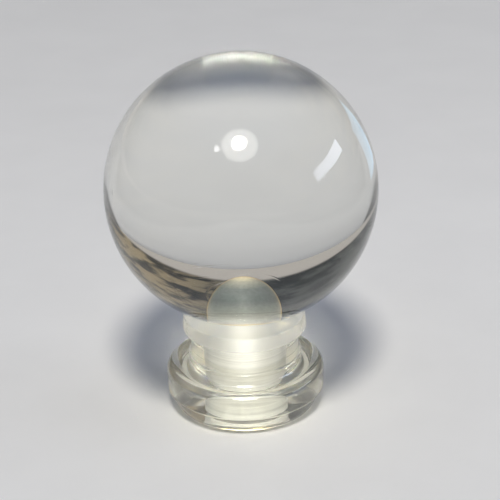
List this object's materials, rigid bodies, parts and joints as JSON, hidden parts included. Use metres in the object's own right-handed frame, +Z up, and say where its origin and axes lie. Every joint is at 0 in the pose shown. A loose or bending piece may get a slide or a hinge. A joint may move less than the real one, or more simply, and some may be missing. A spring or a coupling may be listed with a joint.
{
  "type": "crystal ball on stand",
  "caption": "Solid glass crystal ball that lifts off a clear turned stand with collar, neck and bead foot; a satin pin in the stand reaches into the ball.",
  "frame": {"origin": "middle of the flat underside of the base disc, on the axis of revolution", "axes": "+Z up along the axis of revolution, from the base disc to the top of the ball; X and Y are equal, because the object is round"},
  "size_m": [0.08, 0.08, 0.1103],
  "materials": {
    "ball_glass": "polished clear glass",
    "stand_glass": "polished clear glass",
    "satin_pin": "satin ground glass"
  },
  "bodies": {
    "stand": {"collar": "stand_glass", "neck": "stand_glass", "foot": "stand_glass", "base_disc": "stand_glass"},
    "pin": {"centre_pin": "satin_pin"},
    "ball": {"ball": "ball_glass"}
  },
  "joints": [
    {"name": "pin_turn", "type": "hinge", "parent": "stand", "child": "pin", "pos_m": [0, 0, 0.02], "axis": [0, 0, 1], "continuous": true},
    {"name": "ball_lift", "type": "slide", "parent": "pin", "child": "ball", "axis": [0, 0, 1], "range_m": [0, 0.03]}
  ]
}
